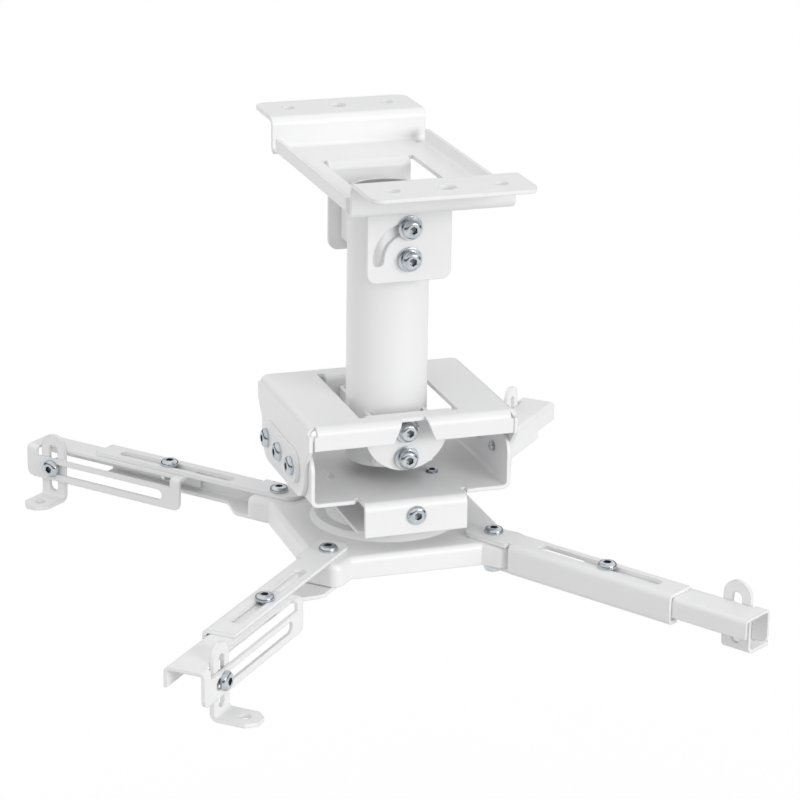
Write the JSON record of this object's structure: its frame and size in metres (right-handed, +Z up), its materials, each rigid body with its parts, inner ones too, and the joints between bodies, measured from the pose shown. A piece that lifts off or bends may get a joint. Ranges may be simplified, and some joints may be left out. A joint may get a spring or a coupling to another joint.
{
  "type": "projector ceiling mount",
  "caption": "White sheet-steel projector ceiling mount: hat-shaped ceiling plate, round pole, roll and tilt yokes, and a swivelling spider with sliding arms and adjustable feet.",
  "frame": {"origin": "middle of the ceiling screw pattern, on the top faces of the ceiling flanges", "axes": "+Z up into the ceiling, +Y along the ceiling plate to the back, +X to the right seen from the front"},
  "size_m": [0.2991, 0.3408, 0.218],
  "materials": {
    "powder_coat": "white satin powder coat",
    "zinc": "bright blue zinc plating"
  },
  "bodies": {
    "ceiling": {"ceiling_plate": "powder_coat"},
    "pole": {"pole_tube": "powder_coat", "pole_saddles": "powder_coat", "pole_washers": "zinc", "pole_spring_washers": "zinc", "pole_pivot_screws": "zinc", "pole_lock_screws": "zinc"},
    "roll": {"roll_yoke": "powder_coat"},
    "tilt": {"tilt_yoke": "powder_coat", "clamp_strip_left": "powder_coat", "clamp_strip_right": "powder_coat", "tilt_pivot_screws": "zinc", "tilt_lock_screws": "zinc", "swivel_plate": "powder_coat", "tongue_screws": "zinc", "tongue_nuts": "zinc", "set_screw": "zinc", "swivel_bolt": "zinc", "swivel_washers": "zinc", "swivel_nut": "zinc"},
    "spider": {"spider": "powder_coat"},
    "arm_fl": {"sleeve_fl": "powder_coat", "pivot_screw_fl": "zinc", "pivot_nut_fl": "zinc"},
    "slide_fl": {"slide_fl": "powder_coat", "slide_screw_fl": "zinc", "slide_nut_fl": "zinc"},
    "carriage_fl": {"foot_screw_fl": "zinc", "foot_nut_fl": "zinc"},
    "foot_fl": {"foot_fl": "powder_coat"},
    "arm_bl": {"sleeve_bl": "powder_coat", "pivot_screw_bl": "zinc", "pivot_nut_bl": "zinc"},
    "slide_bl": {"slide_bl": "powder_coat", "slide_screw_bl": "zinc", "slide_nut_bl": "zinc"},
    "carriage_bl": {"foot_screw_bl": "zinc", "foot_nut_bl": "zinc"},
    "foot_bl": {"foot_bl": "powder_coat"},
    "arm_fr": {"sleeve_fr": "powder_coat", "pivot_screw_fr": "zinc", "pivot_nut_fr": "zinc"},
    "slide_fr": {"slide_fr": "powder_coat", "slide_screw_fr": "zinc", "slide_nut_fr": "zinc"},
    "carriage_fr": {"foot_screw_fr": "zinc", "foot_nut_fr": "zinc"},
    "foot_fr": {"foot_fr": "powder_coat"},
    "arm_br": {"sleeve_br": "powder_coat", "pivot_screw_br": "zinc", "pivot_nut_br": "zinc"},
    "slide_br": {"slide_br": "powder_coat", "slide_screw_br": "zinc", "slide_nut_br": "zinc"},
    "carriage_br": {"foot_screw_br": "zinc", "foot_nut_br": "zinc"},
    "foot_br": {"foot_br": "powder_coat"}
  },
  "joints": [
    {"name": "pole_tilt", "type": "hinge", "parent": "ceiling", "child": "pole", "pos_m": [0, 0, -0.0485], "axis": [0, -1, 0], "range_deg": [0, 90]},
    {"name": "roll", "type": "hinge", "parent": "pole", "child": "roll", "pos_m": [0, 0, -0.1485], "axis": [0, 1, 0], "range_deg": [-8, 8]},
    {"name": "tilt", "type": "hinge", "parent": "roll", "child": "tilt", "pos_m": [0, 0, -0.151], "axis": [1, 0, 0], "range_deg": [-15, 15]},
    {"name": "swivel", "type": "hinge", "parent": "tilt", "child": "spider", "pos_m": [0, 0, -0.19], "axis": [0, 0, 1], "continuous": true},
    {"name": "swing_fl", "type": "hinge", "parent": "spider", "child": "arm_fl", "pos_m": [-0.04243, -0.04243, -0.19], "axis": [0, 0, 1], "range_deg": [-47.5, 42.5]},
    {"name": "extend_fl", "type": "slide", "parent": "arm_fl", "child": "slide_fl", "axis": [-0.6756, -0.7373, 0], "range_m": [-0.0305, 0.028]},
    {"name": "foot_along_fl", "type": "slide", "parent": "slide_fl", "child": "carriage_fl", "axis": [-0.6756, -0.7373, 0], "range_m": [-0.0654, 0.0047]},
    {"name": "foot_height_fl", "type": "slide", "parent": "carriage_fl", "child": "foot_fl", "axis": [0, 0, 1], "range_m": [-0.0095, 0.006]},
    {"name": "swing_bl", "type": "hinge", "parent": "spider", "child": "arm_bl", "pos_m": [-0.04243, 0.04243, -0.19], "axis": [0, 0, 1], "range_deg": [-39.5, 50.5]},
    {"name": "extend_bl", "type": "slide", "parent": "arm_bl", "child": "slide_bl", "axis": [-0.6361, 0.7716, 0], "range_m": [-0.0305, 0.028]},
    {"name": "foot_along_bl", "type": "slide", "parent": "slide_bl", "child": "carriage_bl", "axis": [-0.6361, 0.7716, 0], "range_m": [-0.0689, 0.0012]},
    {"name": "foot_height_bl", "type": "slide", "parent": "carriage_bl", "child": "foot_bl", "axis": [0, 0, 1], "range_m": [-0.0095, 0.006]},
    {"name": "swing_fr", "type": "hinge", "parent": "spider", "child": "arm_fr", "pos_m": [0.04243, -0.04243, -0.19], "axis": [0, 0, 1], "range_deg": [-32, 58]},
    {"name": "extend_fr", "type": "slide", "parent": "arm_fr", "child": "slide_fr", "axis": [0.5299, -0.848, 0], "range_m": [-0.0305, 0.028]},
    {"name": "foot_along_fr", "type": "slide", "parent": "slide_fr", "child": "carriage_fr", "axis": [0.5299, -0.848, 0], "range_m": [-0.0689, 0.0012]},
    {"name": "foot_height_fr", "type": "slide", "parent": "carriage_fr", "child": "foot_fr", "axis": [0, 0, 1], "range_m": [-0.0125, 0.003]},
    {"name": "swing_br", "type": "hinge", "parent": "spider", "child": "arm_br", "pos_m": [0.04243, 0.04243, -0.19], "axis": [0, 0, 1], "range_deg": [-46.5, 43.5]},
    {"name": "extend_br", "type": "slide", "parent": "arm_br", "child": "slide_br", "axis": [0.6884, 0.7254, 0], "range_m": [-0.018, 0.0405]},
    {"name": "foot_along_br", "type": "slide", "parent": "slide_br", "child": "carriage_br", "axis": [0.6884, 0.7254, 0], "range_m": [-0.064, 0.0061]},
    {"name": "foot_height_br", "type": "slide", "parent": "carriage_br", "child": "foot_br", "axis": [0, 0, 1], "range_m": [-0.0146, 0.0009]}
  ]
}
